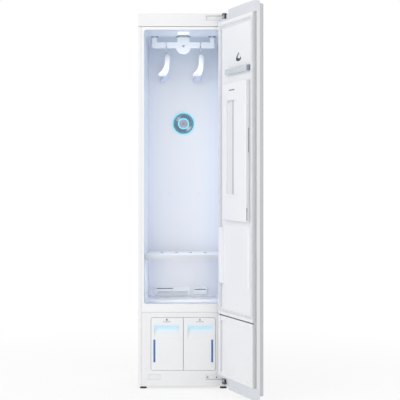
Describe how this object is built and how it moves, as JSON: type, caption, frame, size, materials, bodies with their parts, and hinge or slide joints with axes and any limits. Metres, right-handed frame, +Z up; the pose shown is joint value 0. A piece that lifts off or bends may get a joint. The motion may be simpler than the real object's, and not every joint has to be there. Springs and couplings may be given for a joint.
{
  "type": "clothes care steam cabinet",
  "caption": "Tall white steam cabinet for clothes, with its door open on a moving hanger bar, a shelf and pull-out water tanks.",
  "frame": {"origin": "on the floor under the centre of the case's footprint, door left out", "axes": "+X to the viewer's right, +Y from the front to the back, +Z up"},
  "size_m": [0.5903, 0.9685, 1.85],
  "materials": {
    "case_steel": "satin",
    "screw_steel": "polished",
    "white_plastic": "gloss",
    "toe_plastic": "satin",
    "liner_plastic": "satin",
    "foam": "matte",
    "bay_plastic": "matte",
    "hinge_steel": "satin",
    "lamp_lens": "gloss",
    "rail_steel": "brushed",
    "motor_steel": "satin",
    "bezel_plastic": "gloss",
    "light_guide": "gloss",
    "vane_metal": "gloss",
    "duct_plastic": "matte",
    "nozzle_plastic": "satin",
    "compressor_steel": "satin",
    "coil_aluminium": "satin",
    "boiler_aluminium": "satin",
    "box_plastic": "matte",
    "gland_rubber": "matte",
    "bar_plastic": "satin",
    "crank_metal": "satin",
    "hanger_plastic": "gloss",
    "shelf_plastic": "satin",
    "filter_plastic": "satin",
    "wheel_plastic": "satin",
    "foot_plastic": "matte",
    "roller_plastic": "matte",
    "tank_white": "gloss",
    "tank_clear": "clear",
    "tank_grey": "satin",
    "door_steel": "satin",
    "frame_plastic": "satin",
    "door_white": "satin",
    "gasket_rubber": "matte",
    "cap_plastic": "satin",
    "bush_plastic": "satin",
    "presser_white": "satin",
    "tray_plastic": "gloss"
  },
  "bodies": {
    "cabinet": {"left_side_panel": "case_steel", "right_side_panel": "case_steel", "top_front_panel": "white_plastic", "top_cover": "case_steel", "back_cover": "case_steel", "back_screws": "screw_steel", "base_pan": "case_steel", "cavity_liner": "liner_plastic", "side_insulation": "foam", "base_front_panel": "white_plastic", "toe_cover": "toe_plastic", "tank_bay": "bay_plastic", "upper_hinge": "hinge_steel", "lower_hinge": "hinge_steel", "cavity_lamp": "lamp_lens", "slide_rail": "rail_steel", "hanger_motor": "motor_steel", "fan_bezel": "bezel_plastic", "fan_light_rings": "light_guide", "fan_guide_vanes": "vane_metal", "fan_cap": "vane_metal", "rear_fan_motor": "motor_steel", "rear_duct": "duct_plastic", "steam_nozzle": "nozzle_plastic", "compressor": "compressor_steel", "heat_exchangers": "coil_aluminium", "blower_housing": "duct_plastic", "steam_generator": "boiler_aluminium", "control_box": "box_plastic", "cord_gland": "gland_rubber"},
    "door": {"door_skin": "door_steel", "door_frame": "frame_plastic", "door_core": "foam", "door_liner": "door_white", "door_lower_panel": "door_white", "door_gasket": "gasket_rubber", "door_top_cap": "cap_plastic", "door_bottom_cap": "cap_plastic", "hinge_bushes": "bush_plastic", "presser_base": "presser_white", "aroma_tray": "tray_plastic"},
    "presser": {"presser_plate": "presser_white"},
    "hanger_bar": {"hanger_bar": "bar_plastic"},
    "crank": {"crank_disc": "crank_metal"},
    "left_hanger": {"left_hanger": "hanger_plastic"},
    "right_hanger": {"right_hanger": "hanger_plastic"},
    "shelf": {"shelf": "shelf_plastic"},
    "clean_tank": {"clean_tank_front": "tank_white", "clean_tank_body": "tank_clear", "clean_tank_lid": "tank_grey"},
    "drain_tank": {"drain_tank_front": "tank_white", "drain_tank_body": "tank_clear", "drain_tank_lid": "tank_grey"},
    "lint_filter": {"lint_filter": "filter_plastic"},
    "rear_fan": {"rear_fan_wheel": "wheel_plastic"},
    "blower": {"blower_wheel": "wheel_plastic"},
    "left_foot": {"left_foot": "foot_plastic"},
    "right_foot": {"right_foot": "foot_plastic"},
    "left_roller": {"left_roller": "roller_plastic"},
    "right_roller": {"right_roller": "roller_plastic"}
  },
  "joints": [
    {"name": "door_hinge", "type": "hinge", "parent": "cabinet", "child": "door", "pos_m": [0.2025, -0.2965, 0.936], "axis": [0, 0, 1], "range_deg": [-110, 0]},
    {"name": "hanger_bar_slide", "type": "slide", "parent": "cabinet", "child": "hanger_bar", "axis": [1, 0, 0], "range_m": [-0.01, 0.01]},
    {"name": "crank_turn", "type": "hinge", "parent": "cabinet", "child": "crank", "pos_m": [0, -0.01778, 1.78], "axis": [0, 0, 1], "range_deg": [-50, 50]},
    {"name": "left_hanger_swing", "type": "hinge", "parent": "hanger_bar", "child": "left_hanger", "pos_m": [-0.086, -0.0645, 1.7103], "axis": [0, 1, 0], "range_deg": [-8, 8]},
    {"name": "right_hanger_swing", "type": "hinge", "parent": "hanger_bar", "child": "right_hanger", "pos_m": [0.086, -0.0645, 1.7103], "axis": [0, 1, 0], "range_deg": [-8, 8]},
    {"name": "shelf_lift", "type": "slide", "parent": "cabinet", "child": "shelf", "axis": [0, 0, 1], "range_m": [0, 0.04]},
    {"name": "clean_tank_pull", "type": "slide", "parent": "cabinet", "child": "clean_tank", "axis": [0, -1, 0], "range_m": [0, 0.215]},
    {"name": "drain_tank_pull", "type": "slide", "parent": "cabinet", "child": "drain_tank", "axis": [0, -1, 0], "range_m": [0, 0.215]},
    {"name": "presser_hinge", "type": "hinge", "parent": "door", "child": "presser", "pos_m": [0.20112, -0.39065, 1.1635], "axis": [0, 0, -1], "range_deg": [0, 85]},
    {"name": "lint_filter_pull", "type": "slide", "parent": "cabinet", "child": "lint_filter", "axis": [0, -1, 0], "range_m": [0, 0.08]},
    {"name": "rear_fan_spin", "type": "hinge", "parent": "cabinet", "child": "rear_fan", "pos_m": [0, 0.1505, 1.325], "axis": [0, 1, 0], "continuous": true},
    {"name": "blower_spin", "type": "hinge", "parent": "cabinet", "child": "blower", "pos_m": [-0.005, 0.1755, 0.29], "axis": [0, 1, 0], "continuous": true},
    {"name": "left_foot_adjust", "type": "slide", "parent": "cabinet", "child": "left_foot", "axis": [0, 0, -1], "range_m": [0, 0.015]},
    {"name": "right_foot_adjust", "type": "slide", "parent": "cabinet", "child": "right_foot", "axis": [0, 0, -1], "range_m": [0, 0.015]},
    {"name": "left_roller_spin", "type": "hinge", "parent": "cabinet", "child": "left_roller", "pos_m": [-0.17, 0.2045, 0.016], "axis": [1, 0, 0], "continuous": true},
    {"name": "right_roller_spin", "type": "hinge", "parent": "cabinet", "child": "right_roller", "pos_m": [0.17, 0.2045, 0.016], "axis": [1, 0, 0], "continuous": true}
  ],
  "couplings": [
    {"joint": "crank_turn", "follows": "hanger_bar_slide", "rad_per_m": 87.266}
  ]
}
